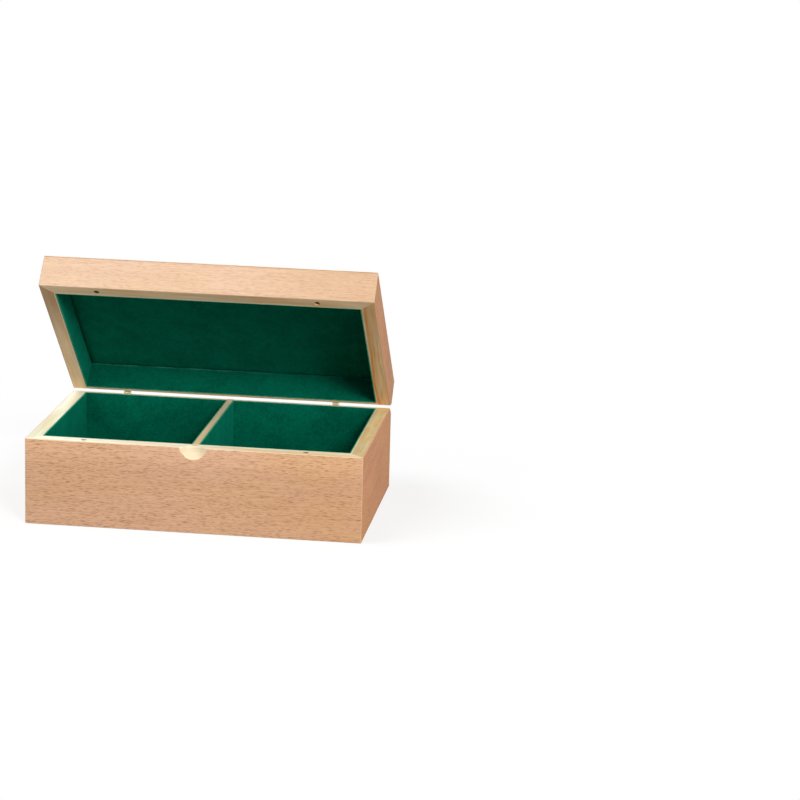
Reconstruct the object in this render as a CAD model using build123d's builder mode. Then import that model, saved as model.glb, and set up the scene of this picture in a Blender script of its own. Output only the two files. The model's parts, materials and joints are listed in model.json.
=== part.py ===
"""Chess box with a hinged lid: veneered mitred base and lid, felt-lined, with two barrel hinges.

Origin: centre of the underside. +X runs along the long front towards the right end,
+Y towards the hinged back, +Z up. Units are millimetres. The lid stands open.
"""
import os
from math import cos, radians, sin

from build123d import *

os.makedirs("parts", exist_ok=True)

# Driving dimensions: the box
box_width = 240.0            # along X, over the veneers
box_depth = 154.0            # along Y, over the veneers
base_height = 62.0
lid_height = 25.0
wall_thickness = 10.0        # core board and veneer together
veneer_thickness = 0.6
arris = 0.4                  # light chamfer on the outer edges of the veneers
seam_gap = 0.2               # between base rim and lid rim when shut
lid_open_angle = 43.0        # as the box stands here

# Driving dimensions: boards inside the walls
floor_thickness = 4.0        # plywood bottom, let into a rebate
floor_rebate = 5.0           # how far the bottom runs under the walls
divider_thickness = 4.0
divider_housing = 3.0        # depth of the groove that holds each divider end
lid_panel_thickness = 2.4    # plywood top of the lid, under its veneer
top_leaf_width = 47.0        # lighter leaf of veneer along the front of the lid top

# Driving dimensions: linings
felt_thickness = 1.0
lining_thickness = 1.6       # felt-covered card inside the lid top
lining_clearance = 0.8       # all round the covered card

# Driving dimensions: back bevels and finger notch
bevel_reach = 7.6            # across the rim, from the back face
bevel_drop = 5.6             # down the back face
notch_width = 20.4           # across the front, at the rim
notch_drop = 8.9             # below the rim, on the front face
notch_reach = 5.5            # back into the front wall

# Driving dimensions: hardware
hardware_inset = 41.0        # from each end of the box to its magnets and hinges
magnet_diameter = 4.0
magnet_length = 3.0
magnet_setback = 5.4         # from the front face to the magnet's axis
magnet_sink = 0.15           # below the rim
deep_magnet_sink = 1.3       # the lid's right magnet sits deeper in its pocket
press_clearance = 0.03       # radial, round each pressed or glued round part
barrel_diameter = 6.4
barrel_length = 13.0         # from the rim to the blind end
barrel_end_chamfer = 0.5
hinge_setback = 5.0          # from the back face to the hinge pin
knuckle_diameter = 2.5
pin_diameter = 1.2
pin_clearance = 0.04         # radial, in every knuckle
tongue_thickness = 1.6       # the lid half's middle knuckle
ear_thickness = 1.6          # the base half's two outer knuckles
knuckle_clearance = 0.15     # along the pin, between tongue and ear

# Sizes that follow
half_width = box_width / 2
half_depth = box_depth / 2
core_thickness = wall_thickness - veneer_thickness
core_half_width = half_width - veneer_thickness
core_half_depth = half_depth - veneer_thickness
inner_half_width = half_width - wall_thickness
inner_half_depth = half_depth - wall_thickness
lid_wall_height = lid_height - veneer_thickness - lid_panel_thickness
hardware_x = half_width - hardware_inset
hinge_y = half_depth - hinge_setback
hinge_z = base_height + seam_gap / 2
magnet_y = magnet_setback - half_depth
ear_inner_x = tongue_thickness / 2 + knuckle_clearance
ear_outer_x = ear_inner_x + ear_thickness

# The lid's own frame: its origin is the middle of the lid's rim, turned open about the hinge pin
opening = radians(lid_open_angle)
rim_lift = seam_gap / 2
lid_origin_y = hinge_y - hinge_y * cos(opening) + rim_lift * sin(opening)
lid_origin_z = hinge_z + hinge_y * sin(opening) + rim_lift * cos(opening)
base_frame = Plane.XY
base_rim_frame = Plane.XY.offset(base_height)
lid_frame = Plane(origin=(0, lid_origin_y, lid_origin_z), x_dir=(1, 0, 0),
                  z_dir=(0, sin(opening), cos(opening)))


def save(builder, node):
    """Label a finished piece and write it as its own STEP file."""
    builder.part.label = node
    export_step(builder.part, f"parts/{node}.step")


def cross_section(frame, x=0.0):
    """The plane square to the box's length, drawn with the frame's Y and Z."""
    return Plane(origin=frame.from_local_coords((x, 0, 0)), x_dir=frame.y_dir, z_dir=frame.x_dir)


def block(frame, x_span, y_span, z_span, mode=Mode.ADD):
    """A rectangular block between two limits along each axis of a frame."""
    with BuildSketch(frame.offset(z_span[0])) as plan:
        with Locations(((x_span[0] + x_span[1]) / 2, (y_span[0] + y_span[1]) / 2)):
            Rectangle(x_span[1] - x_span[0], y_span[1] - y_span[0])
    extrude(plan.sketch, amount=z_span[1] - z_span[0], mode=mode)


def cut_back_bevel(frame, rim_z, into):
    """Plane off the back of a rim; into is -1 where the wood lies below the rim, +1 above."""
    over = 1.0
    slope = bevel_drop / bevel_reach
    with BuildSketch(cross_section(frame)) as waste:
        with BuildLine():
            Polyline((half_depth - bevel_reach, rim_z),
                     (half_depth + over, rim_z + into * (bevel_drop + over * slope)),
                     (half_depth + over, rim_z - into * over),
                     (half_depth - bevel_reach, rim_z - into * over),
                     close=True)
        make_face()
    extrude(waste.sketch, amount=half_width + over, both=True, mode=Mode.SUBTRACT)


def cut_notch():
    """Scoop the finger notch with a ball that stands in front of the wall and above the rim."""
    face_radius = (notch_width**2 / 4 + notch_drop**2) / (2 * notch_drop)
    ball_radius = (face_radius**2 + notch_reach**2) / (2 * notch_reach)
    ball_y = notch_reach - half_depth - ball_radius
    ball_z = base_height - notch_drop + face_radius
    with Locations((0, ball_y, ball_z)):
        Sphere(ball_radius, mode=Mode.SUBTRACT)


def cut_pockets(frame, rim_z, into, y, radius, depths):
    """Bore two round pockets into a rim, one near each end; depths are (left, right)."""
    for x, depth in zip((-hardware_x, hardware_x), depths):
        with BuildSketch(frame.offset(rim_z)) as mouth:
            with Locations((x, y)):
                Circle(radius)
        extrude(mouth.sketch, amount=into * depth, mode=Mode.SUBTRACT)


def board_outline(side):
    """Plan of a core board with its two mitred ends."""
    out_x, out_y = core_half_width, core_half_depth
    in_x, in_y = inner_half_width, inner_half_depth
    return {
        "front": [(-out_x, -out_y), (out_x, -out_y), (in_x, -in_y), (-in_x, -in_y)],
        "back": [(out_x, out_y), (-out_x, out_y), (-in_x, in_y), (in_x, in_y)],
        "left": [(-out_x, out_y), (-out_x, -out_y), (-in_x, -in_y), (-in_x, in_y)],
        "right": [(out_x, -out_y), (out_x, out_y), (in_x, in_y), (in_x, -in_y)],
    }[side]


def mitred_board(frame, side, height):
    """One core board standing on a frame."""
    with BuildSketch(frame) as plan:
        Polygon(*board_outline(side), align=None)
    extrude(plan.sketch, amount=height)


def veneer_plan(side):
    """X and Y limits of one side's veneer; the front and back leaves cover the ends."""
    return {
        "front": ((-half_width, half_width), (-half_depth, -core_half_depth)),
        "back": ((-half_width, half_width), (core_half_depth, half_depth)),
        "left": ((-half_width, -core_half_width), (-core_half_depth, core_half_depth)),
        "right": ((core_half_width, half_width), (-core_half_depth, core_half_depth)),
    }[side]


def outward(frame, side):
    """The axis that points out of the box through a side."""
    return {
        "front": Axis((0, 0, 0), -frame.y_dir),
        "back": Axis((0, 0, 0), frame.y_dir),
        "left": Axis((0, 0, 0), -frame.x_dir),
        "right": Axis((0, 0, 0), frame.x_dir),
    }[side]


def veneer_leaf(frame, side, height):
    """One leaf of veneer with its outer edges eased."""
    x_span, y_span = veneer_plan(side)
    block(frame, x_span, y_span, (0, height))
    outer_face = faces().sort_by(outward(frame, side))[-1]
    chamfer(outer_face.edges(), arris)


# ---------------------------------------------------------------- base boards
pocket_radius = magnet_diameter / 2 + press_clearance
bore_radius = barrel_diameter / 2 + press_clearance
rebate_half_width = inner_half_width + floor_rebate
rebate_half_depth = inner_half_depth + floor_rebate
housing_half_depth = inner_half_depth + divider_housing

for side in ("front", "back", "left", "right"):
    with BuildPart() as base_wall:
        mitred_board(base_frame, side, base_height)
        block(base_frame, (-rebate_half_width, rebate_half_width),
              (-rebate_half_depth, rebate_half_depth), (0, floor_thickness), Mode.SUBTRACT)
        if side in ("front", "back"):
            block(base_frame, (-divider_thickness / 2, divider_thickness / 2),
                  (-housing_half_depth, housing_half_depth), (0, base_height), Mode.SUBTRACT)
        if side == "front":
            base_pocket_depth = magnet_length + magnet_sink
            cut_pockets(base_frame, base_height, -1, magnet_y, pocket_radius,
                        (base_pocket_depth, base_pocket_depth))
            cut_notch()
        else:
            cut_back_bevel(base_frame, base_height, -1)
        if side == "back":
            cut_pockets(base_frame, base_height, -1, hinge_y, bore_radius,
                        (barrel_length, barrel_length))
    save(base_wall, f"base_{side}_wall")

with BuildPart() as base_floor:
    block(base_frame, (-rebate_half_width, rebate_half_width),
          (-rebate_half_depth, rebate_half_depth), (0, floor_thickness))
save(base_floor, "base_floor_panel")

with BuildPart() as divider:
    block(base_frame, (-divider_thickness / 2, divider_thickness / 2),
          (-housing_half_depth, housing_half_depth), (floor_thickness, base_height))
save(divider, "divider")

# --------------------------------------------------------------- base veneers
for side in ("front", "back", "left", "right"):
    with BuildPart() as base_veneer:
        veneer_leaf(base_frame, side, base_height)
        if side == "front":
            cut_notch()
        else:
            cut_back_bevel(base_frame, base_height, -1)
    save(base_veneer, f"base_{side}_veneer")

# ---------------------------------------------------------------- base linings
for hand, sign in (("left", -1), ("right", 1)):
    wall_x = sign * inner_half_width
    divider_x = sign * divider_thickness / 2
    near_wall_x = sign * (inner_half_width - felt_thickness)
    near_divider_x = sign * (divider_thickness / 2 + felt_thickness)
    full_x = sorted((wall_x, divider_x))
    full_y = (-inner_half_depth, inner_half_depth)
    between_y = (felt_thickness - inner_half_depth, inner_half_depth - felt_thickness)
    on_floor = (floor_thickness, floor_thickness + felt_thickness)
    up_wall = (floor_thickness + felt_thickness, base_height)
    felts = {
        "floor": (full_x, full_y, on_floor),
        "front": (full_x, (full_y[0], between_y[0]), up_wall),
        "back": (full_x, (between_y[1], full_y[1]), up_wall),
        "side": (sorted((wall_x, near_wall_x)), between_y, up_wall),
        "divider": (sorted((divider_x, near_divider_x)), between_y, up_wall),
    }
    for place, spans in felts.items():
        with BuildPart() as felt:
            block(base_frame, *spans)
        save(felt, f"{hand}_{place}_felt")


# ------------------------------------------------------------------- magnets
def magnet_pair(frame, rim_z, into, sinks):
    """Two round magnets lying below a rim; sinks are (left, right)."""
    for x, sink in zip((-hardware_x, hardware_x), sinks):
        with BuildSketch(frame.offset(rim_z + into * sink)) as magnet_face:
            with Locations((x, magnet_y)):
                Circle(magnet_diameter / 2)
        extrude(magnet_face.sketch, amount=into * magnet_length)


with BuildPart() as base_magnets:
    magnet_pair(base_frame, base_height, -1, (magnet_sink, magnet_sink))
save(base_magnets, "base_magnets")

with BuildPart() as lid_magnets:
    magnet_pair(lid_frame, 0, 1, (magnet_sink, deep_magnet_sink))
save(lid_magnets, "lid_magnets")


# -------------------------------------------------------------------- hinges
def barrel(frame, x, rim_z, into):
    """Round barrel in its bore, its mouth planed off flush with the wood."""
    with BuildSketch(frame.offset(rim_z)) as barrel_mouth:
        with Locations((x, hinge_y)):
            Circle(barrel_diameter / 2)
    extrude(barrel_mouth.sketch, amount=into * barrel_length)
    blind_end = faces().sort_by(Axis((0, 0, 0), frame.z_dir * into))[-1]
    chamfer(blind_end.edges(), barrel_end_chamfer)
    cut_back_bevel(frame, rim_z, into)


def knuckle(frame, x_from, thickness, pin_z, into):
    """One round-ended leg that rises out of the barrel and carries the pin."""
    root_z = pin_z + into * bevel_drop
    with BuildSketch(cross_section(frame, x_from)) as leg:
        with Locations((hinge_y, pin_z)):
            Circle(knuckle_diameter / 2)
        with Locations((hinge_y, (pin_z + root_z) / 2)):
            Rectangle(knuckle_diameter, abs(root_z - pin_z))
    extrude(leg.sketch, amount=thickness)


def pin_hole(frame, x, pin_z):
    """Bore for the hinge pin, right through the knuckles."""
    with BuildSketch(cross_section(frame, x)) as hole:
        with Locations((hinge_y, pin_z)):
            Circle(pin_diameter / 2 + pin_clearance)
    extrude(hole.sketch, amount=barrel_diameter, both=True, mode=Mode.SUBTRACT)


for hand, x in (("left", -hardware_x), ("right", hardware_x)):
    with BuildPart() as base_half:
        barrel(base_frame, x, base_height, -1)
        knuckle(base_frame, x + ear_inner_x, ear_thickness, hinge_z, -1)
        knuckle(base_frame, x - ear_outer_x, ear_thickness, hinge_z, -1)
        pin_hole(base_frame, x, hinge_z)
    save(base_half, f"{hand}_hinge_base_half")

    with BuildPart() as lid_half:
        barrel(lid_frame, x, 0, 1)
        knuckle(lid_frame, x - tongue_thickness / 2, tongue_thickness, -rim_lift, 1)
        pin_hole(lid_frame, x, -rim_lift)
    save(lid_half, f"{hand}_hinge_lid_half")

    with BuildPart() as hinge_pin:
        with BuildSketch(cross_section(base_frame, x)):
            with Locations((hinge_y, hinge_z)):
                Circle(pin_diameter / 2)
        extrude(amount=ear_outer_x, both=True)
    save(hinge_pin, f"{hand}_hinge_pin")

# ----------------------------------------------------------------- lid boards
for side in ("front", "back", "left", "right"):
    with BuildPart() as lid_wall:
        mitred_board(lid_frame, side, lid_wall_height)
        if side == "front":
            cut_pockets(lid_frame, 0, 1, magnet_y, pocket_radius,
                        (magnet_length + magnet_sink, magnet_length + deep_magnet_sink))
        else:
            cut_back_bevel(lid_frame, 0, 1)
        if side == "back":
            cut_pockets(lid_frame, 0, 1, hinge_y, bore_radius, (barrel_length, barrel_length))
    save(lid_wall, f"lid_{side}_wall")

with BuildPart() as lid_panel:
    block(lid_frame, (-core_half_width, core_half_width), (-core_half_depth, core_half_depth),
          (lid_wall_height, lid_wall_height + lid_panel_thickness))
save(lid_panel, "lid_top_panel")

# --------------------------------------------------------------- lid veneers
for side in ("front", "back", "left", "right"):
    with BuildPart() as lid_veneer:
        veneer_leaf(lid_frame, side, lid_height - veneer_thickness)
        if side != "front":
            cut_back_bevel(lid_frame, 0, 1)
    save(lid_veneer, f"lid_{side}_veneer")

leaf_joint_y = top_leaf_width - half_depth
for place, y_span in (("front", (-half_depth, leaf_joint_y)), ("rear", (leaf_joint_y, half_depth))):
    with BuildPart() as top_leaf:
        block(lid_frame, (-half_width, half_width), y_span, (lid_height - veneer_thickness, lid_height))
        top_face = faces().sort_by(Axis((0, 0, 0), lid_frame.z_dir))[-1]
        towards_joint = Axis((0, 0, 0), lid_frame.y_dir * (1 if place == "front" else -1))
        chamfer(top_face.edges().sort_by(towards_joint)[:-1], arris)
    save(top_leaf, f"lid_{place}_top_veneer")

# --------------------------------------------------------------- lid linings
lid_felt_x = (-inner_half_width, inner_half_width)
lid_felt_y = (-inner_half_depth, inner_half_depth)
clear_x = (felt_thickness - inner_half_width, inner_half_width - felt_thickness)
clear_y = (felt_thickness - inner_half_depth, inner_half_depth - felt_thickness)
lid_felts = {
    "front": (lid_felt_x, (lid_felt_y[0], clear_y[0])),
    "back": (lid_felt_x, (clear_y[1], lid_felt_y[1])),
    "left": ((lid_felt_x[0], clear_x[0]), clear_y),
    "right": ((clear_x[1], lid_felt_x[1]), clear_y),
}
for side, spans in lid_felts.items():
    with BuildPart() as lid_felt:
        block(lid_frame, *spans, (0, lid_wall_height))
    save(lid_felt, f"lid_{side}_felt")

with BuildPart() as lid_lining:
    block(lid_frame,
          (clear_x[0] + lining_clearance, clear_x[1] - lining_clearance),
          (clear_y[0] + lining_clearance, clear_y[1] - lining_clearance),
          (lid_wall_height - lining_thickness, lid_wall_height))
save(lid_lining, "lid_lining_panel")
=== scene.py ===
"""A chess box standing open: veneered and mitred base and lid, felts, hinges and magnets.

Metres. +X runs along the front to the right, +Y towards the hinged back, +Z up.
"""
import json
import math

import bpy
from mathutils import Matrix, Vector, noise


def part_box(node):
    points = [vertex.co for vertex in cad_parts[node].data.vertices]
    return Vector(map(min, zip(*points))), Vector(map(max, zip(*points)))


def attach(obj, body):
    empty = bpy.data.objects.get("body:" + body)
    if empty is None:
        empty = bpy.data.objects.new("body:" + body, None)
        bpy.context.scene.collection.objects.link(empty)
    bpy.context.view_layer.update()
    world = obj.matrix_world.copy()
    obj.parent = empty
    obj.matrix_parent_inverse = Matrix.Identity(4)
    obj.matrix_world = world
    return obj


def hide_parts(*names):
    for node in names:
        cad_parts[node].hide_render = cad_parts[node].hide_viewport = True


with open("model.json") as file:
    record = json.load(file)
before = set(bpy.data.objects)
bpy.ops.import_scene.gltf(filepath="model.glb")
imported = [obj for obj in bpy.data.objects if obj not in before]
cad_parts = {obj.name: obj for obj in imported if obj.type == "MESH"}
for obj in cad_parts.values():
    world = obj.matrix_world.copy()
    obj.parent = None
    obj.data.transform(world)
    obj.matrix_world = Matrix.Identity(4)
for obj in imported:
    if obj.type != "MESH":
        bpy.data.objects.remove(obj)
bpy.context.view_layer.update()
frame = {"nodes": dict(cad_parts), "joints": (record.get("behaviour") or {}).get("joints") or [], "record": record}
bpy.ops.object.select_all(action="DESELECT")


# ------------------------------------------------------------------ how the box stands
# The lid turns on one line, through the pins of its two barrel hinges. Its pieces are measured as
# they lie when shut, and it stands open by the angle that its joint has to go before it shuts.
hinge = frame["joints"][0]
hinge_line = Vector(hinge["pos_m"])
lid_opening = math.radians(-hinge["range_deg"][0])
open_lid = (Matrix.Translation(hinge_line) @ Matrix.Rotation(-lid_opening, 4, "X")
            @ Matrix.Translation(-hinge_line))
shut_lid = open_lid.inverted()


def shut_box(node):
    """Lowest and highest corner of a CAD piece with the lid shut."""
    low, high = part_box(node)
    if node in frame["record"]["behaviour"]["bodies"]["lid"]:
        corners = [shut_lid @ v.co for v in frame["nodes"][node].data.vertices]
        low = Vector([min(c[i] for c in corners) for i in range(3)])
        high = Vector([max(c[i] for c in corners) for i in range(3)])
    return low, high


base_low, front_high = shut_box("base_front_veneer")
base_high = Vector((front_high.x, shut_box("base_back_veneer")[1].y, front_high.z))
lid_low = Vector((base_low.x, base_low.y, shut_box("lid_front_veneer")[0].z))
lid_high = Vector((base_high.x, base_high.y, shut_box("lid_rear_top_veneer")[1].z))


# ------------------------------------------------------------------ core boards
# Eight mitred boards of a pale, close-grained timber, planed and clear-lacquered. Only their
# edges show, as the rims of base and lid, and the scoop of the finger notch in the front one.
def new_group(name, inputs, outputs):
    """An empty node group with float, vector or colour sockets."""
    kinds = {"value": "NodeSocketFloat", "vector": "NodeSocketVector",
             "colour": "NodeSocketColor"}
    group = bpy.data.node_groups.new(name, "ShaderNodeTree")
    for socket, kind, default in inputs:
        made = group.interface.new_socket(socket, in_out="INPUT", socket_type=kinds[kind])
        if default is not None:
            made.default_value = default
    for socket, kind in outputs:
        group.interface.new_socket(socket, in_out="OUTPUT", socket_type=kinds[kind])
    return group, group.nodes.new("NodeGroupInput"), group.nodes.new("NodeGroupOutput")


def put(tree, kind, links=None, **settings):
    """A new node, with its properties set and its inputs linked or given a value."""
    node = tree.nodes.new(kind)
    for name, value in settings.items():
        setattr(node, name, value)
    for socket, source in (links or {}).items():
        if isinstance(source, bpy.types.NodeSocket):
            tree.links.new(source, node.inputs[socket])
        else:
            node.inputs[socket].default_value = source
    return node


def math_node(tree, operation, a, b=0.0, c=0.0, clamp=False):
    """The result of a Math node."""
    return put(tree, "ShaderNodeMath", {0: a, 1: b, 2: c},
               operation=operation, use_clamp=clamp).outputs[0]


def times(tree, a, b):
    """The product of two values."""
    return math_node(tree, "MULTIPLY", a, b)


def distance_from(tree, value, level):
    """How far a value is from a level, on either side."""
    return math_node(tree, "ABSOLUTE", math_node(tree, "SUBTRACT", value, level))


def split(tree, vector):
    """The outputs X, Y and Z of a vector."""
    return put(tree, "ShaderNodeSeparateXYZ", {"Vector": vector}).outputs


def vector_math(tree, operation, a, b=(0, 0, 0), result="Vector"):
    """The result of a Vector Math node."""
    return put(tree, "ShaderNodeVectorMath", {0: a, 1: b}, operation=operation).outputs[result]


def ramp(tree, value, low, high, out_low=0.0, out_high=1.0):
    """A smooth step from one value to another."""
    return put(tree, "ShaderNodeMapRange",
               {"Value": value, "From Min": low, "From Max": high,
                "To Min": out_low, "To Max": out_high},
               interpolation_type="SMOOTHSTEP").outputs["Result"]


def mix(tree, factor, a, b, blend="MIX"):
    """Two colours mixed."""
    node = put(tree, "ShaderNodeMix", {"Factor": factor}, data_type="RGBA", blend_type=blend)
    for socket, source in ((6, a), (7, b)):
        if isinstance(source, bpy.types.NodeSocket):
            tree.links.new(source, node.inputs[socket])
        else:
            node.inputs[socket].default_value = (*source, 1)
    return node.outputs[2]


def noise_node(tree, vector, scale, detail=2.0, roughness=0.5, distortion=0.0):
    """The value of a Noise texture."""
    return put(tree, "ShaderNodeTexNoise",
               {"Vector": vector, "Scale": scale, "Detail": detail, "Roughness": roughness,
                "Distortion": distortion}).outputs["Fac"]


def stretched(tree, vector, size, shift):
    """Grain coordinates divided by a length along, across and through the grain."""
    return put(tree, "ShaderNodeMapping",
               {"Vector": vector, "Scale": [1 / length for length in size],
                "Location": (shift,) * 3}, vector_type="POINT").outputs["Vector"]


def grain_noise(tree, vector, size, shift=0.0, **settings):
    """Noise drawn out along the grain; another shift gives another pattern."""
    return noise_node(tree, stretched(tree, vector, size, shift), 1.0, **settings)


LATE_WOOD, WARM_PATCH, BROWN_STREAK = (0.86, 0.77, 0.67), (1.0, 0.78, 0.54), (0.50, 0.24, 0.08)
HEART_LINE, HEART_DRIFT = (0.86, 0.56, 0.30), 0.014
HEART_REACH, HALO_REACH = (0.0012, 0.0002), (0.0050, 0.0005)


def timber_grain_group():
    """Close, plain grain: soft bands, fibres, warm patches, brown streaks and a heart line."""
    group, given, out = new_group(
        "timber_grain",
        [("Vector", "vector", None), ("Tone", "colour", (0.8, 0.7, 0.5, 1)),
         ("Warmth", "value", 0.3), ("Streaks", "value", 0.3)],
        [("Color", "colour"), ("Roughness", "value"), ("Height", "value")])
    vector = given.outputs["Vector"]
    bands = grain_noise(group, vector, (0.060, 0.0045, 0.0045), detail=3.0, roughness=0.55)
    fibres = grain_noise(group, vector, (0.0060, 0.00035, 0.00035), 3.1, roughness=0.6)
    lines = grain_noise(group, vector, (0.060, 0.0024, 0.0040), 7.7, distortion=0.3)
    patches = grain_noise(group, vector, (0.035, 0.020, 0.020), 5.3, detail=1.0)
    glows = grain_noise(group, vector, (0.034, 0.0070, 0.0070), 11.9, distortion=0.4)
    streak = times(group, ramp(group, lines, 0.57, 0.67), ramp(group, patches, 0.36, 0.54))
    streak = times(group, streak, given.outputs["Streaks"])
    # one orange-brown line wanders down the middle of the log, and a board cut there shows it
    drift = grain_noise(group, vector, (0.075, 1.0, 0.050), 2.3, roughness=0.4)
    off_line = math_node(group, "MULTIPLY_ADD", drift, HEART_DRIFT, split(group, vector)["Y"])
    off_line = math_node(group, "ABSOLUTE", off_line)
    fade = grain_noise(group, vector, (0.028, 1.0, 1.0), 6.6, detail=1.0)
    heart = times(group, ramp(group, off_line, *HEART_REACH),
                  ramp(group, fade, 0.2, 0.55, 0.3, 0.9))
    halo = times(group, ramp(group, off_line, *HALO_REACH), 0.45)
    late = ramp(group, bands, 0.30, 0.72)
    warm = times(group, ramp(group, glows, 0.44, 0.70), given.outputs["Warmth"])
    fine = times(group, ramp(group, fibres, 0.45, 0.75), 0.35)
    colour = mix(group, late, given.outputs["Tone"], LATE_WOOD, "MULTIPLY")
    colour = mix(group, warm, colour, WARM_PATCH, "MULTIPLY")
    colour = mix(group, fine, colour, LATE_WOOD, "MULTIPLY")
    colour = mix(group, halo, colour, WARM_PATCH, "MULTIPLY")
    colour = mix(group, streak, colour, BROWN_STREAK)
    colour = mix(group, heart, colour, HEART_LINE, "MULTIPLY")
    height = math_node(group, "SUBTRACT", fibres, times(group, streak, 0.4))
    group.links.new(colour, out.inputs["Color"])
    group.links.new(ramp(group, fibres, 0.2, 0.8, 0.46, 0.60), out.inputs["Roughness"])
    group.links.new(height, out.inputs["Height"])
    return group


timber_grain = timber_grain_group()
QUARTER_TURN = math.radians(90)
GRAIN_TURNS = {"along_x": (0, 0, 0), "along_y": (0, 0, -QUARTER_TURN),
               "along_x_upright": (-QUARTER_TURN, 0, 0),
               "along_y_upright": (-QUARTER_TURN, -QUARTER_TURN, 0)}


def place_coordinates(tree, body):
    """Object coordinates, turned back with the lid where the piece is on the lid."""
    vector = put(tree, "ShaderNodeTexCoord").outputs["Object"]
    if body == "lid":
        vector = put(tree, "ShaderNodeMapping",
                     {"Vector": vector, "Rotation": shut_lid.to_euler(),
                      "Location": shut_lid.to_translation()},
                     vector_type="POINT").outputs["Vector"]
    return vector


def grain_coordinates(tree, placed, grain, log_point):
    """Coordinates that run along, across and through the grain, from a point of the log."""
    moved = vector_math(tree, "ADD", placed, log_point)
    return put(tree, "ShaderNodeMapping", {"Vector": moved, "Rotation": GRAIN_TURNS[grain]},
               vector_type="POINT").outputs["Vector"]


def new_material(name):
    """A material with a bare Principled BSDF."""
    material = bpy.data.materials.new(name)
    material.use_nodes = True
    tree = material.node_tree
    return material, tree, tree.nodes["Principled BSDF"]


def bump(tree, shader, height, depth):
    """Relief of a depth in metres."""
    made = put(tree, "ShaderNodeBump", {"Height": height, "Strength": 1.0, "Distance": depth})
    tree.links.new(made.outputs["Normal"], shader.inputs["Normal"])


def dress(node, material):
    """Gives a CAD piece its material."""
    data = frame["nodes"][node].data
    data.materials.clear()
    data.materials.append(material)


# the pale line along each rim's inner arris, by the felt, is a painted highlight
SAWN_FACE, ARRIS_PAINTED_HIGHLIGHT = (0.90, 0.86, 0.79), (0.97, 0.86, 0.67)
ARRIS_REACH, RIM_REACH = (0.0008, 0.0003), (0.0005, 0.0012)


def board_tone_and_shading_group():
    """A board's tone and painted light and shade from end to end, a painted highlight on the arris by the felt,
    duller where sawn.
    """
    group, given, out = new_group(
        "board_tone_and_shading",
        [("Vector", "vector", None), ("Grain Axis", "vector", None),
         ("Near End", "value", -0.1), ("Far End", "value", 0.1),
         ("Near Tone And Shading", "colour", (0.8, 0.7, 0.5, 1)), ("Far Tone And Shading", "colour", (0.8, 0.7, 0.5, 1)),
         ("Opening", "vector", None), ("Rim", "value", 0.06)],
        [("Tone", "colour")])
    placed = given.outputs["Vector"]
    along = vector_math(group, "DOT_PRODUCT", placed, given.outputs["Grain Axis"], "Value")
    share = ramp(group, along, given.outputs["Near End"], given.outputs["Far End"])
    # the change from end to end is partly painted light and shade
    tone = mix(group, share, given.outputs["Near Tone And Shading"], given.outputs["Far Tone And Shading"])
    size = vector_math(group, "ABSOLUTE", placed)
    past = split(group, vector_math(group, "SUBTRACT", size, given.outputs["Opening"]))
    from_felt = math_node(group, "ABSOLUTE", math_node(group, "MAXIMUM", past["X"], past["Y"]))
    # a painted highlight along the arris by the felt
    arris_highlight = ramp(group, from_felt, *ARRIS_REACH, 0.0, 0.8)
    tone = mix(group, arris_highlight, tone, ARRIS_PAINTED_HIGHLIGHT)
    from_rim = distance_from(group, split(group, placed)["Z"], given.outputs["Rim"])
    tone = mix(group, ramp(group, from_rim, *RIM_REACH), tone, SAWN_FACE, "MULTIPLY")
    group.links.new(tone, out.inputs["Tone"])
    return group


felt_opening = Vector((shut_box("base_right_wall")[0].x, shut_box("base_back_wall")[0].y, 1.0))
board_tone_and_shading = board_tone_and_shading_group()
# a board's tone and painted light and shade start to change this share of the way out from its middle to its near
# end
NEAR_END = 0.85
TIMBER_RELIEF = 0.00006


def timber(name, body, grain, log_point, near_tone_and_shading, far_tone_and_shading, far_end, warmth, streaks):
    """Clear-lacquered planed timber, whose tone and painted light and shade change from its left or front end on.
    """
    material, tree, shader = new_material(name)
    placed = place_coordinates(tree, body)
    axis = 0 if grain == "along_x" else 1
    tone = put(tree, "ShaderNodeGroup",
               {"Vector": placed, "Grain Axis": (1 - axis, axis, 0),
                "Near End": NEAR_END * base_low[axis], "Far End": far_end * base_high[axis],
                "Near Tone And Shading": (*near_tone_and_shading, 1), "Far Tone And Shading": (*far_tone_and_shading, 1),
                "Opening": felt_opening, "Rim": base_high.z}, node_tree=board_tone_and_shading)
    figure = put(tree, "ShaderNodeGroup",
                 {"Vector": grain_coordinates(tree, placed, grain, log_point),
                  "Tone": tone.outputs["Tone"], "Warmth": warmth, "Streaks": streaks},
                 node_tree=timber_grain)
    tree.links.new(figure.outputs["Color"], shader.inputs["Base Color"])
    tree.links.new(figure.outputs["Roughness"], shader.inputs["Roughness"])
    bump(tree, shader, figure.outputs["Height"], TIMBER_RELIEF)
    return material


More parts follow.
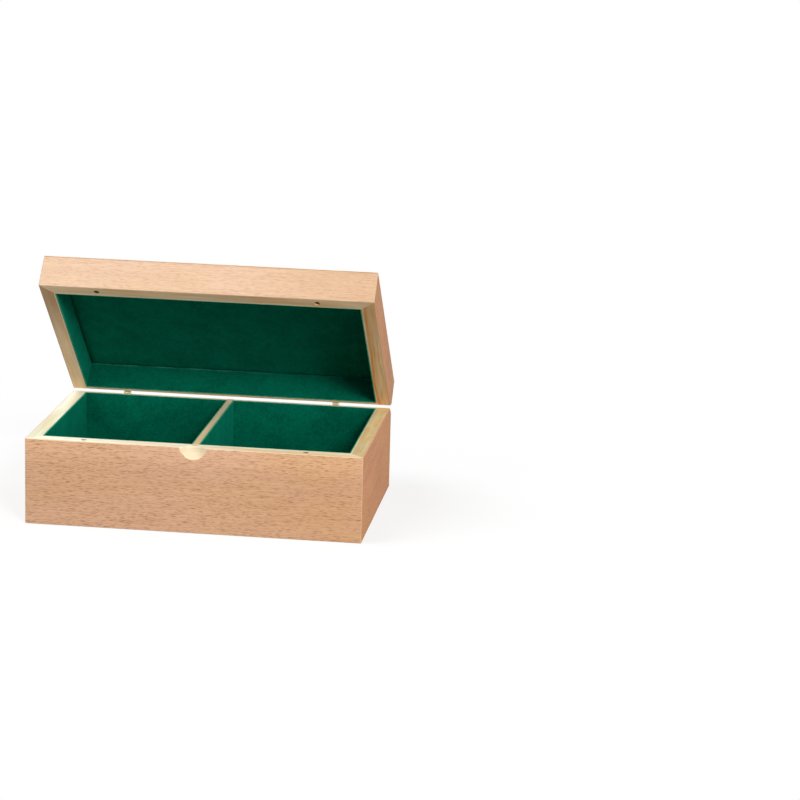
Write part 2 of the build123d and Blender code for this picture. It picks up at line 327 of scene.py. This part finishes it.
# tone at the left or front end, tone at the other end, the share of the way out from the middle
# at which that one is reached, share of warm patches, share of brown streaks. The tones are partly
# painted light and shade: the base's rims are paler and the lid's darker than the one timber they
# share; the base's back rim and the back end of its left rim are paler against the open lid's
# shadow; the base's front rim is paler at its left end, where the light from the left falls; and
# the lid's back rim, and its left rim towards the hinge, are paler for the light thrown up from the
# base's rims, while the front end of the lid's left rim is dark with shade.
RIM_TIMBER_AND_SHADING = {"base_front": ((0.95, 0.95, 0.82), (0.68, 0.58, 0.38), 0.85, 0.25, 0.15),
              "base_back": ((0.92, 0.88, 0.72), (0.92, 0.88, 0.72), 0.35, 0.15, 0.15),
              "base_left": ((0.77, 0.78, 0.58), (0.95, 0.96, 0.79), 0.50, 0.30, 0.15),
              "base_right": ((0.49, 0.41, 0.21), (0.92, 0.75, 0.38), 0.40, 1.00, 0.80),
              "lid_front": ((0.80, 0.61, 0.38), (0.78, 0.60, 0.39), 0.35, 0.60, 0.15),
              "lid_back": ((0.92, 0.74, 0.52), (0.92, 0.74, 0.52), 0.35, 0.30, 0.15),
              "lid_left": ((0.47, 0.29, 0.13), (0.98, 0.78, 0.50), 0.20, 0.50, 0.15),
              "lid_right": ((0.67, 0.47, 0.25), (0.94, 0.67, 0.37), 0.35, 0.50, 0.50)}
# every board comes from its own place in the log, the right ones from along its heart line
LOG_STEP_X, LOG_STEP_Y, HEART_Y = 0.37, 0.11, 0.40
LOG_HEIGHT, HEART_X = {"base": 0.0, "lid": 0.23}, {"base": -0.05, "lid": -0.1040}
for body in ("base", "lid"):
    for index, side in enumerate(("front", "back", "left", "right")):
        node = f"{body}_{side}_wall"
        grain = "along_x" if side in ("front", "back") else "along_y"
        log_point = (LOG_STEP_X * index, LOG_STEP_Y * index, LOG_HEIGHT[body])
        if side == "right":
            log_point = (HEART_X[body], HEART_Y, LOG_HEIGHT[body])
        dress(node, timber(node, body, grain, log_point, *RIM_TIMBER_AND_SHADING[f"{body}_{side}"]))


# ------------------------------------------------------------------ bottom, divider and lid top
# Thin plywood let into the base and glued on the lid's boards, and a bare planed board that
# parts the base in two. Only the underside and the divider's top edge show.
PLYWOOD = (0.74, 0.60, 0.40)
# the divider's paler back end is painted light against the open lid's shadow
DIVIDER_FRONT, DIVIDER_BACK_WITH_PAINTED_LIGHT = (0.68, 0.49, 0.29), (0.92, 0.76, 0.54)
dress("divider", timber("divider", "base", "along_y", (0.9, 0.2, 0.1),
                        DIVIDER_FRONT, DIVIDER_BACK_WITH_PAINTED_LIGHT, far_end=0.35, warmth=0.4, streaks=0.3))
dress("base_floor_panel", timber("floor_plywood", "base", "along_x", (0.1, 0.7, 0.4),
                                 PLYWOOD, PLYWOOD, far_end=0.35, warmth=0.4, streaks=0.5))
dress("lid_top_panel", timber("lid_plywood", "lid", "along_x", (0.6, 0.3, 0.8),
                              PLYWOOD, PLYWOOD, far_end=0.35, warmth=0.4, streaks=0.3))


# ------------------------------------------------------------------ veneers
# Leaves of steamed beech, 0.6 mm thick, pressed on the boards, their edges eased with fine paper
# and the whole sprayed with satin lacquer. Short dark rays, the dashes, fill the front leaves.
SLOW_SWAY, QUICK_SWAY = 0.0022, 0.0006
DASH_THICKNESS = 0.0010
# the base's front leaf is paler towards its top edge: painted light from above
PAINTED_TOP_LIGHT, PAINTED_TOP_LIGHT_REACH = (1.16, 1.19, 1.22), (0.022, 0.005)
WARM_WOOD, WARM_REACH = (0.94, 0.905, 0.82), (0.010, 0.095)


def beech_figure_group():
    """Steamed beech: soft bands, an ochre cast here and there, fine fibres and dark dashes."""
    group, given, out = new_group(
        "beech_figure",
        [("Vector", "vector", None), ("Light", "colour", (0.7, 0.45, 0.27, 1)),
         ("Dark", "colour", (0.6, 0.35, 0.2, 1)), ("Ochre", "colour", (0.6, 0.4, 0.2, 1)),
         ("Dash", "colour", (0.35, 0.16, 0.07, 1)), ("Dashes", "value", 0.6),
         ("Bands", "value", 0.5), ("Lines", "value", 0.5), ("Painted Top Light", "value", 0.0),
         ("Painted Light Level", "value", 0.0), ("Warm End", "value", 0.0)],
        [("Color", "colour"), ("Roughness", "value"), ("Height", "value")])
    vector = given.outputs["Vector"]
    # the grain wanders a little, so the dashes tilt both ways
    slow = grain_noise(group, vector, (0.030, 0.015, 0.040), 1.7, detail=1.0)
    quick = grain_noise(group, vector, (0.010, 0.0050, 0.020), 9.2, detail=1.0)
    sway = math_node(group, "MULTIPLY_ADD", slow, SLOW_SWAY, times(group, quick, QUICK_SWAY))
    offset = put(group, "ShaderNodeCombineXYZ", {"Y": sway}).outputs["Vector"]
    swayed = vector_math(group, "ADD", vector, offset)

    def spindles(length, height, shift):
        """Dashes of one size, pointed at both ends."""
        size = (length, height, DASH_THICKNESS)
        cells = put(group, "ShaderNodeTexVoronoi",
                    {"Vector": stretched(group, swayed, size, shift), "Scale": 1.0},
                    voronoi_dimensions="3D", feature="F1")
        # some cells stay empty, and the others' dashes differ in depth of colour
        lot = put(group, "ShaderNodeSeparateColor", {"Color": cells.outputs["Color"]})
        return times(group, ramp(group, cells.outputs["Distance"], 0.38, 0.15),
                     ramp(group, lot.outputs["Green"], 0.12, 0.80))

    dash = math_node(group, "MAXIMUM", spindles(0.0074, 0.00052, 0.0),
                     times(group, spindles(0.0048, 0.00042, 4.3), 0.85))
    crowd = grain_noise(group, vector, (0.030, 0.014, 0.05), 2.9, detail=1.0)
    dash = times(group, dash, ramp(group, crowd, 0.30, 0.62, 0.88, 1.0))
    dash = times(group, dash, given.outputs["Dashes"])
    bands = grain_noise(group, swayed, (0.085, 0.0065, 0.02), 8.1, detail=3.0)
    tones = grain_noise(group, vector, (0.110, 0.045, 0.05), 6.3)
    casts = grain_noise(group, vector, (0.070, 0.032, 0.05), 13.1)
    fibres = grain_noise(group, swayed, (0.0080, 0.00040, 0.001), 3.7, roughness=0.6)
    lines = grain_noise(group, swayed, (0.0360, 0.00046, 0.003), 5.9, detail=1.0)
    shade = times(group, ramp(group, bands, 0.30, 0.70), given.outputs["Bands"])
    shade = math_node(group, "MULTIPLY_ADD", ramp(group, tones, 0.3, 0.7), 0.35, shade)
    shade = math_node(group, "MULTIPLY", shade, 0.8, clamp=True)
    ochre = ramp(group, casts, 0.42, 0.66, 0.0, 0.6)
    fine = times(group, ramp(group, lines, 0.44, 0.68), given.outputs["Lines"])
    fine = math_node(group, "MULTIPLY_ADD", ramp(group, fibres, 0.42, 0.75), 0.26, fine)
    place = split(group, vector)
    warm = times(group, ramp(group, place["X"], *WARM_REACH), given.outputs["Warm End"])
    # painted light from above, paler towards the top edge at the base's rim
    from_side = distance_from(group, place["Y"], given.outputs["Painted Light Level"])
    top_light = times(group, ramp(group, from_side, *PAINTED_TOP_LIGHT_REACH), given.outputs["Painted Top Light"])
    colour = mix(group, shade, given.outputs["Light"], given.outputs["Dark"])
    colour = mix(group, ochre, colour, given.outputs["Ochre"])
    colour = mix(group, fine, colour, given.outputs["Dark"], "MULTIPLY")
    colour = mix(group, warm, colour, WARM_WOOD, "MULTIPLY")
    colour = mix(group, top_light, colour, PAINTED_TOP_LIGHT, "MULTIPLY")
    colour = mix(group, dash, colour, given.outputs["Dash"])
    roughness = ramp(group, fibres, 0.2, 0.8, 0.42, 0.52)
    roughness = math_node(group, "MULTIPLY_ADD", dash, 0.14, roughness)
    height = math_node(group, "MULTIPLY_ADD", dash, -0.9, times(group, fibres, 0.5))
    group.links.new(colour, out.inputs["Color"])
    group.links.new(roughness, out.inputs["Roughness"])
    group.links.new(height, out.inputs["Height"])
    return group


def eased_edge_group():
    """Where two faces of a rectangular body meet: 1 on its edges, 0 elsewhere."""
    group, given, out = new_group(
        "eased_edge",
        [("Vector", "vector", None), ("Half Size", "vector", None), ("Width", "value", 0.0007)],
        [("Edge", "value")])
    size = vector_math(group, "ABSOLUTE", given.outputs["Vector"])
    inside = split(group, vector_math(group, "SUBTRACT", given.outputs["Half Size"], size))
    near = []
    for axis in ("X", "Y", "Z"):
        share = math_node(group, "DIVIDE", inside[axis], given.outputs["Width"])
        near.append(ramp(group, share, 0.35, 1.0, 1.0, 0.0))
    pairs = [times(group, near[i], near[(i + 1) % 3]) for i in range(3)]
    edge = math_node(group, "MAXIMUM", pairs[0], math_node(group, "MAXIMUM", pairs[1], pairs[2]))
    group.links.new(edge, out.inputs["Edge"])
    return group


beech_figure = beech_figure_group()
eased_edge = eased_edge_group()
BEECH_DASH, BEECH_RELIEF = (0.25, 0.075, 0.020), 0.00005
# every leaf is paler along all its edges: a painted highlight
EDGE_HIGHLIGHT, EDGE_HIGHLIGHT_WIDTH, EDGE_HIGHLIGHT_SHARE = (0.82, 0.60, 0.39), 0.0007, 0.25


def beech(name, body, grain, log_point, leaf, dashes, bands, lines, gloss,
          painted_top_light_share=0.0, warm_end=0.0):
    """Satin-lacquered beech veneer, with a painted highlight along its edges.

    The share of painted top light is how much paler, for the light from above, a leaf is along its
    top edge at the base's rim, and warm_end how much warmer it is towards its right end."""
    material, tree, shader = new_material(name)
    placed = place_coordinates(tree, body)
    light, dark, ochre = leaf
    figure = put(tree, "ShaderNodeGroup",
                 {"Vector": grain_coordinates(tree, placed, grain, log_point),
                  "Light": (*light, 1), "Dark": (*dark, 1), "Ochre": (*ochre, 1),
                  "Dash": (*BEECH_DASH, 1), "Dashes": dashes, "Bands": bands, "Lines": lines,
                  "Painted Top Light": painted_top_light_share, "Painted Light Level": base_high.z, "Warm End": warm_end},
                 node_tree=beech_figure)
    low, high = (base_low, base_high) if body == "base" else (lid_low, lid_high)
    edges = put(tree, "ShaderNodeGroup",
                {"Vector": vector_math(tree, "SUBTRACT", placed, (low + high) / 2),
                 "Half Size": (high - low) / 2, "Width": EDGE_HIGHLIGHT_WIDTH}, node_tree=eased_edge)
    # a painted highlight along the leaf's edges
    edge_highlight = times(tree, edges.outputs["Edge"], EDGE_HIGHLIGHT_SHARE)
    colour = mix(tree, edge_highlight, figure.outputs["Color"], EDGE_HIGHLIGHT)
    tree.links.new(colour, shader.inputs["Base Color"])
    tree.links.new(figure.outputs["Roughness"], shader.inputs["Roughness"])
    shader.inputs["Specular IOR Level"].default_value = gloss
    bump(tree, shader, figure.outputs["Height"], BEECH_RELIEF)
    return material


# each leaf's light wood, dark wood and ochre cast
FRONT_LEAF = ((0.655, 0.399, 0.246), (0.565, 0.318, 0.187), (0.630, 0.376, 0.200))
# the lid's front leaf is the base front's veneer painted darker and greyer: painted shade against the stronger
# light on the open lid's front
LID_LEAF_PAINTED_SHADE = ((0.538, 0.347, 0.211), (0.478, 0.295, 0.171), (0.528, 0.336, 0.181))
SIDE_LEAF = ((0.590, 0.284, 0.138), (0.485, 0.215, 0.096), (0.580, 0.280, 0.115))
LID_SIDE_LEAF = ((0.545, 0.278, 0.141), (0.450, 0.210, 0.098), (0.535, 0.274, 0.118))
PALE_TOP_LEAF = ((0.690, 0.480, 0.305), (0.620, 0.415, 0.255), (0.680, 0.465, 0.270))
WARM_TOP_LEAF = ((0.620, 0.395, 0.235), (0.540, 0.325, 0.183), (0.605, 0.380, 0.200))
dress("base_front_veneer",
      beech("base_front_beech", "base", "along_x_upright", (0, 0, 0), FRONT_LEAF,
            dashes=1.0, bands=0.30, lines=0.20, gloss=0.40, painted_top_light_share=1.0, warm_end=0.8))
dress("lid_front_veneer",
      beech("lid_front_beech", "lid", "along_x_upright", (0, 0, 0.4), LID_LEAF_PAINTED_SHADE,
            dashes=0.60, bands=0.4, lines=0.14, gloss=0.80, warm_end=1.0))
for body, log_z, side_leaf in (("base", 0.0, SIDE_LEAF), ("lid", 0.4, LID_SIDE_LEAF)):
    dress(f"{body}_back_veneer",
          beech(f"{body}_back_beech", body, "along_x_upright", (0.8, 0, log_z), FRONT_LEAF,
                dashes=0.55, bands=0.7, lines=0.30, gloss=0.30))
    for side, log_y in (("left", 0.5), ("right", 1.1)):
        dress(f"{body}_{side}_veneer",
              beech(f"{body}_{side}_beech", body, "along_y_upright", (0, log_y, log_z),
                    side_leaf, dashes=0.40, bands=0.9, lines=0.20, gloss=0.02))
dress("lid_front_top_veneer",
      beech("lid_front_leaf", "lid", "along_x", (0.2, 0.6, 0), PALE_TOP_LEAF,
            dashes=0.25, bands=0.8, lines=0.30, gloss=0.35))
dress("lid_rear_top_veneer",
      beech("lid_rear_leaf", "lid", "along_x", (0.5, 0.9, 0), WARM_TOP_LEAF,
            dashes=0.35, bands=1.0, lines=0.30, gloss=0.35))


# ------------------------------------------------------------------ felts
# Dark green craft felt, 1 mm thick, cut to each wall and glued on. The nap is brushed in patches,
# each piece carries its own painted light and shade, and the cut edges at the rims are stiff with
# glue and paler, with a painted highlight.
# the pale line where a felt meets the lining is partly dried glue and partly painted light against the crease's
# shade
GLUE_AND_PAINTED_LIGHT = (0.03, 0.20, 0.13)
GLUE_AND_LIGHT_REACH, GLUE_AND_LIGHT_FADE, CUT_REACH = (0.0014, 0.0006), (0.045, -0.030), (0.00012, 0.00045)
# how many marks of each kind the felt has per metre
MAT, TUFTS, BRUSHED, PATCHES = 1500.0, 520.0, 70.0, 18.0


def felt_figure_group():
    """Pressed wool: matted fibres, tufts, brushed patches, a pale cut edge with a painted highlight, a line of
    glue and painted light.
    """
    group, given, out = new_group(
        "felt_figure",
        [("Vector", "vector", None), ("Rim", "value", 0.05), ("Towards Rim", "value", 1.0),
         ("Deep", "colour", (0, 0.05, 0.03, 1)), ("Raised", "colour", (0, 0.1, 0.06, 1)),
         ("Cut Edge And Highlight", "colour", (0.2, 0.4, 0.3, 1)), ("Glue And Light Line", "value", 0.0),
         ("Lining Level", "value", 0.08)],
        [("Color", "colour"), ("Height", "value")])
    vector = given.outputs["Vector"]
    mat = noise_node(group, vector, MAT, detail=3.0, roughness=0.7)
    tufts = noise_node(group, vector, TUFTS, roughness=0.6, distortion=1.2)
    brushed = noise_node(group, vector, BRUSHED, detail=3.0, roughness=0.55, distortion=0.6)
    patches = noise_node(group, vector, PATCHES)
    tone = times(group, ramp(group, patches, 0.3, 0.7), 0.20)
    tone = math_node(group, "MULTIPLY_ADD", ramp(group, brushed, 0.3, 0.7), 0.22, tone)
    tone = math_node(group, "MULTIPLY_ADD", ramp(group, mat, 0.25, 0.75), 0.38, tone)
    tone = math_node(group, "SUBTRACT", tone, 0.12)
    tone = math_node(group, "MULTIPLY_ADD", ramp(group, tufts, 0.3, 0.7), 0.40, tone, clamp=True)
    colour = mix(group, tone, given.outputs["Deep"], given.outputs["Raised"])
    place = split(group, vector)
    # a pale line where the felt meets the lining, most of it at the left: glue that has crept out and
    #     # dried, and painted light against the shade of the crease
    off_lining = distance_from(group, place["Z"], given.outputs["Lining Level"])
    smears = grain_noise(group, vector, (0.012, 0.012, 0.002), 4.4, roughness=0.6)
    glue_and_light = times(group, ramp(group, off_lining, *GLUE_AND_LIGHT_REACH),
                 ramp(group, smears, 0.36, 0.62, 0.10, 1.0))
    glue_and_light = times(group, glue_and_light, ramp(group, place["X"], *GLUE_AND_LIGHT_FADE, 0.30, 1.0))
    glue_and_light = times(group, glue_and_light, given.outputs["Glue And Light Line"])
    colour = mix(group, glue_and_light, colour, GLUE_AND_PAINTED_LIGHT)
    to_rim = math_node(group, "SUBTRACT", given.outputs["Rim"], place["Z"])
    to_rim = times(group, to_rim, given.outputs["Towards Rim"])
    # the pale cut edge at the rim: paler fibres stiff with glue, and a painted highlight
    cut = times(group, ramp(group, to_rim, *CUT_REACH, 1.0, 0.0),
                ramp(group, tufts, 0.25, 0.75, 0.45, 1.0))
    height = math_node(group, "MULTIPLY_ADD", tufts, 0.8, mat)
    group.links.new(mix(group, cut, colour, given.outputs["Cut Edge And Highlight"]), out.inputs["Color"])
    group.links.new(height, out.inputs["Height"])
    return group


felt_figure = felt_figure_group()
# the cut edge's colour is partly a painted highlight
FELT_DEEP, FELT_RAISED, FELT_CUT_AND_HIGHLIGHT = (0.0, 0.066, 0.037), (0.0, 0.176, 0.101), (0.10, 0.40, 0.23)
FELT_RELIEF = 0.00022
# each piece's felt colour is scaled by this: painted shade below 1, painted light above 1, for how the light falls
# on it
FELT_PAINTED_LIGHT = {"lid_back_felt": 0.74, "lid_left_felt": 0.85, "left_back_felt": 0.90,
       "right_back_felt": 0.88, "right_side_felt": 0.80, "lid_lining_panel": 1.12}
# how much of that line of glue and painted light each piece has
GLUE_AND_LIGHT_LINE = {"lid_back_felt": 0.9, "lid_left_felt": 0.35}


def felt(body, painted_light, glue_and_light_line):
    """Glued craft felt of one body, with its painted light and shade and so much of a line of glue and painted
    light.
    """
    name = f"{body}_felt_{round(100 * painted_light)}_{round(100 * glue_and_light_line)}"
    if name in bpy.data.materials:
        return bpy.data.materials[name]
    material, tree, shader = new_material(name)
    rim, towards_rim = ((shut_box("lid_front_felt")[0].z, -1.0) if body == "lid"
                        else (shut_box("left_front_felt")[1].z, 1.0))
    deep, raised, cut = ([painted_light * c for c in colour] for colour in (FELT_DEEP, FELT_RAISED, FELT_CUT_AND_HIGHLIGHT))
    figure = put(tree, "ShaderNodeGroup",
                 {"Vector": place_coordinates(tree, body), "Rim": rim, "Towards Rim": towards_rim,
                  "Deep": (*deep, 1), "Raised": (*raised, 1), "Cut Edge And Highlight": (*cut, 1),
                  "Glue And Light Line": glue_and_light_line, "Lining Level": shut_box("lid_lining_panel")[0].z},
                 node_tree=felt_figure)
    tree.links.new(figure.outputs["Color"], shader.inputs["Base Color"])
    shader.inputs["Roughness"].default_value = 0.95
    shader.inputs["Specular IOR Level"].default_value = 0.02
    shader.inputs["Sheen Weight"].default_value = 0.12
    shader.inputs["Sheen Roughness"].default_value = 0.5
    shader.inputs["Sheen Tint"].default_value = (0.02, 0.75, 0.5, 1)
    bump(tree, shader, figure.outputs["Height"], FELT_RELIEF)
    return material


FELT_MESH, FELT_EDGE = 0.003, 0.00035
FELT_SWELL, SWELLS_PER_METRE, SWELL_FROM = 0.00016, 45.0, Vector((3.0, 7.0, 1.0))
SWELL_SETTLE, SWELL_SINK = 0.004, 0.6
# a crowned piece rises over this far from its edges, and is cut finer there
CROWN_EDGE, EDGE_LOOPS = 0.0048, (0.0009, 0.0016, 0.0024, 0.0042)


def felt_piece(node, facing, body, spread=0.0, edge=FELT_EDGE, crown=0.0):
    """One felt in the place of its CAD solid: a closed sheet, swollen a little, soft-edged.

    facing is the axis and sign of the side that shows; spread presses it wider on each side, and
    crown is how far its middle stands above its edges."""
    low, high = shut_box(node)
    axis, sign = facing
    flat_axes = [i for i in range(3) if i != axis]
    for i in flat_axes:
        low[i] -= spread
        high[i] += spread
    size = high - low
    bpy.ops.mesh.primitive_cube_add(size=1, location=(low + high) / 2, scale=size)
    piece = bpy.context.object
    piece.name = f"{node}_sheet"
    bpy.ops.object.transform_apply(location=True, rotation=True, scale=True)
    bpy.ops.object.mode_set(mode="EDIT")
    bpy.ops.mesh.select_all(action="SELECT")
    bpy.ops.mesh.bevel(offset=edge, segments=3, profile=0.6, affect="EDGES", clamp_overlap=True)
    for i in flat_axes:
        count = max(2, round(size[i] / FELT_MESH))
        cuts = [size[i] * k / count for k in range(1, count)]
        if crown:
            cuts += [d for step in EDGE_LOOPS for d in (step, size[i] - step)]
        for cut in cuts:
            normal = [0, 0, 0]
            normal[i] = 1
            point = [0, 0, 0]
            point[i] = low[i] + cut
            bpy.ops.mesh.select_all(action="SELECT")
            bpy.ops.mesh.bisect(plane_co=point, plane_no=normal, use_fill=False)
    bpy.ops.object.mode_set(mode="OBJECT")
    front = high[axis] if sign > 0 else low[axis]
    for v in piece.data.vertices:
        depth = abs(v.co[axis] - front)
        if depth < size[axis] / 2:
            rim = min(min(v.co[i] - low[i], high[i] - v.co[i]) for i in flat_axes)
            settle = min(1.0, rim / SWELL_SETTLE)
            wave = noise.noise(Vector(v.co) * SWELLS_PER_METRE + SWELL_FROM) * settle
            rise = crown * (1 - (1 - min(1.0, rim / CROWN_EDGE)) ** 2)
            v.co[axis] += sign * (FELT_SWELL * (wave - SWELL_SINK * settle) + rise)
    bpy.ops.object.shade_smooth_by_angle(angle=math.radians(50))
    if body == "lid":
        piece.data.transform(open_lid)
    piece.data.materials.append(felt(body, FELT_PAINTED_LIGHT.get(node, 1.0), GLUE_AND_LIGHT_LINE.get(node, 0.0)))
    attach(piece, body)
    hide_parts(node)
    bpy.ops.object.select_all(action="DESELECT")
    return piece, [size[i] for i in flat_axes]


X, Y, Z = 0, 1, 2
for hand, out_sign in (("left", -1), ("right", 1)):
    walls = {"floor": ((Z, 1), "base_floor_panel"), "front": ((Y, 1), "base_front_wall"),
             "back": ((Y, -1), "base_back_wall"), "side": ((X, -out_sign), f"base_{hand}_wall"),
             "divider": ((X, out_sign), "divider")}
    for place, (facing, backing) in walls.items():
        piece, flat = felt_piece(f"{hand}_{place}_felt", facing, "base")
for side, facing in (("front", (Y, 1)), ("back", (Y, -1)), ("left", (X, 1)), ("right", (X, -1))):
    piece, flat = felt_piece(f"lid_{side}_felt", facing, "lid")


# ------------------------------------------------------------------ lid lining
# A card covered with the same felt, turned round its edges and glued, then pressed into the
# lid against the plywood. Its edges are round and its middle is a little fuller.
PRESSED_OUT, LINING_EDGE, LINING_CROWN, TURN_IN = 0.0007, 0.00075, 0.0011, 0.012
piece, flat = felt_piece("lid_lining_panel", (Z, -1), "lid",
                         spread=PRESSED_OUT, edge=LINING_EDGE, crown=LINING_CROWN)


# ------------------------------------------------------------------ magnets
# Nickel-plated round magnets, pressed into pockets in the rims. Their faces are dull from
# handling, and the lid's two are painted darker for the shade and dark reflections they lie in, the
# right one almost black.
TARNISH = (0.50, 0.46, 0.38)
MIDDLE_BAND, CLOUDS_PER_METRE = 0.01, 700.0


def dull_metal_group():
    """Handled metal: cloudy tarnish and fine scratches. Of a pair, the right one may differ."""
    group, given, out = new_group(
        "dull_metal",
        [("Vector", "vector", None), ("Left Color", "colour", (0.5, 0.5, 0.5, 1)),
         ("Right Color", "colour", (0.5, 0.5, 0.5, 1)), ("Roughness", "value", 0.3),
         ("Scratches", "value", 0.2)],
        [("Color", "colour"), ("Roughness", "value"), ("Height", "value")])
    vector = given.outputs["Vector"]
    to_right = ramp(group, split(group, vector)["X"], -MIDDLE_BAND, MIDDLE_BAND)
    colour = mix(group, to_right, given.outputs["Left Color"], given.outputs["Right Color"])
    cloud = noise_node(group, vector, CLOUDS_PER_METRE, detail=3.0, roughness=0.6)
    lines = grain_noise(group, vector, (0.004, 0.00025, 0.0010), roughness=0.6)
    colour = mix(group, ramp(group, cloud, 0.42, 0.66), colour, TARNISH, "MULTIPLY")
    roughness = math_node(group, "MULTIPLY_ADD", lines, given.outputs["Scratches"],
                          given.outputs["Roughness"])
    group.links.new(colour, out.inputs["Color"])
    group.links.new(roughness, out.inputs["Roughness"])
    group.links.new(lines, out.inputs["Height"])
    return group


dull_metal = dull_metal_group()
METAL_RELIEF = 0.00002


def metal(name, body, left_colour, right_colour, roughness, scratches):
    """Dull metal with fine random scratches."""
    material, tree, shader = new_material(name)
    finish = put(tree, "ShaderNodeGroup",
                 {"Vector": place_coordinates(tree, body), "Left Color": (*left_colour, 1),
                  "Right Color": (*right_colour, 1), "Roughness": roughness,
                  "Scratches": scratches}, node_tree=dull_metal)
    tree.links.new(finish.outputs["Color"], shader.inputs["Base Color"])
    tree.links.new(finish.outputs["Roughness"], shader.inputs["Roughness"])
    shader.inputs["Metallic"].default_value = 1.0
    bump(tree, shader, finish.outputs["Height"], METAL_RELIEF)
    return material


NICKEL = (0.40, 0.36, 0.29)
# the lid's magnets are painted darker for shade and dark reflections, the right one almost black
SHADED_NICKEL, DEEP_SHADED_NICKEL = (0.17, 0.125, 0.055), (0.05, 0.035, 0.012)
dress("base_magnets",
      metal("base_nickel", "base", NICKEL, NICKEL, roughness=0.34, scratches=0.25))
dress("lid_magnets",
      metal("lid_nickel", "lid", SHADED_NICKEL, DEEP_SHADED_NICKEL, roughness=0.34,
            scratches=0.25))


# ------------------------------------------------------------------ barrel hinges
# Turned brass barrels, glued into bores in the back rims, two ears on the lower and one tongue
# on the upper of each pair, with a steel pin through them.
BRASS, STEEL = (0.95, 0.82, 0.55), (0.40, 0.36, 0.30)
brass = {body: metal(f"{body}_hinge_brass", body, BRASS, BRASS, roughness=0.40, scratches=0.20)
         for body in ("base", "lid")}
steel = metal("hinge_pin_steel", "base", STEEL, STEEL, roughness=0.25, scratches=0.20)
for hand in ("left", "right"):
    for body in ("base", "lid"):
        dress(f"{hand}_hinge_{body}_half", brass[body])
    dress(f"{hand}_hinge_pin", steel)


# ------------------------------------------------------------------ studio
# A plain white table that keeps only the box's own shadow, in a white room, with one soft box
# overhead at the left, three low in front and one behind.
TABLE_SIZE, TABLE_GREY, BOUNCE_GREY = 16, (0.80, 0.80, 0.80), (0.25, 0.25, 0.25)
# the table glows pure white away from the box, and by this share under it, where it has a shadow
SHADOW_REACH, SHADOW_WHITE = (0.12, 0.42), 0.74
bpy.ops.mesh.primitive_plane_add(size=TABLE_SIZE, location=(0, 0, 0))
table_top = bpy.context.object
table_top.name = "table_top"
material = bpy.data.materials.new("white_table")
material.use_nodes = True
tree = material.node_tree
tree.nodes.clear()
seen = put(tree, "ShaderNodeLightPath").outputs
thrown_back = mix(tree, seen["Is Diffuse Ray"], TABLE_GREY, BOUNCE_GREY)
plain = put(tree, "ShaderNodeBsdfDiffuse", {"Color": thrown_back})
glow = put(tree, "ShaderNodeEmission", {"Color": (1, 1, 1, 1), "Strength": 1.0})
place = put(tree, "ShaderNodeTexCoord").outputs["Object"]
away = vector_math(tree, "LENGTH", place, result="Value")
white = ramp(tree, away, *SHADOW_REACH, SHADOW_WHITE, 1.0)
rays = math_node(tree, "MAXIMUM", seen["Is Camera Ray"], seen["Is Glossy Ray"])
mixed = put(tree, "ShaderNodeMixShader",
            {0: times(tree, rays, white), 1: plain.outputs[0], 2: glow.outputs[0]})
put(tree, "ShaderNodeOutputMaterial", {"Surface": mixed.outputs[0]})
table_top.data.materials.append(material)

ROOM_LIGHT = 0.15
world = bpy.data.worlds.new("white_studio")
bpy.context.scene.world = world
world.use_nodes = True
tree = world.node_tree
tree.nodes.clear()
seen = put(tree, "ShaderNodeLightPath").outputs
rays = math_node(tree, "MAXIMUM", seen["Is Camera Ray"], seen["Is Glossy Ray"])
rays = math_node(tree, "MAXIMUM", rays, seen["Is Transmission Ray"])
strength = math_node(tree, "MULTIPLY_ADD", rays, 1 - ROOM_LIGHT, ROOM_LIGHT)
background = put(tree, "ShaderNodeBackground", {"Color": (1, 1, 1, 1), "Strength": strength})
put(tree, "ShaderNodeOutputWorld", {"Surface": background.outputs[0]})
LAMPS_AIM = Vector((0, 0, 0.08))


def soft_box(name, place, size, power):
    """A square area lamp that looks at the box."""
    lamp = bpy.data.lights.new(name, "AREA")
    lamp.shape = "SQUARE"
    lamp.size = size
    lamp.energy = power
    made = bpy.data.objects.new(name, lamp)
    bpy.context.scene.collection.objects.link(made)
    made.location = place
    made.rotation_euler = (LAMPS_AIM - Vector(place)).to_track_quat("-Z", "Y").to_euler()


soft_box("overhead_left", (-0.90, -0.20, 2.02), size=1.3, power=31)
soft_box("front_right", (0.95, -1.65, 1.18), size=0.5, power=29)
soft_box("low_right", (1.86, -1.08, 0.54), size=0.8, power=21)
soft_box("front_left", (-1.46, -1.22, 1.18), size=0.9, power=11)
soft_box("behind", (0.5, 1.9, 1.0), size=1.2, power=17)


# ------------------------------------------------------------------ camera
# A long lens from the front, a little to the right of the box's middle and above it. The box
# stands left of the middle of the picture.
azimuth, elevation, roll = math.radians(6.703), math.radians(13.741), math.radians(1.585)
distance, focal_pixels, picture_pixels = 2.05778, 2860.1, 800
box_middle, aside, above = Vector((0, -0.017, 0.045)), 0.13764, 0.03608
forward = Vector((-math.sin(azimuth) * math.cos(elevation),
                  math.cos(azimuth) * math.cos(elevation), -math.sin(elevation)))
level = Vector((math.cos(azimuth), math.sin(azimuth), 0))
upright = level.cross(forward)
right = level * math.cos(roll) + upright * math.sin(roll)
up = upright * math.cos(roll) - level * math.sin(roll)
aim = box_middle + aside * right + above * up
view = bpy.data.cameras.new("camera")
view.sensor_width = 36
view.lens = focal_pixels / picture_pixels * view.sensor_width
view.clip_end = 50
camera = bpy.data.objects.new("camera", view)
bpy.context.scene.collection.objects.link(camera)
camera.matrix_world = Matrix((right, up, -forward)).transposed().to_4x4()
camera.location = aim - distance * forward
bpy.context.scene.camera = camera
bpy.context.scene.view_settings.view_transform = "Standard"
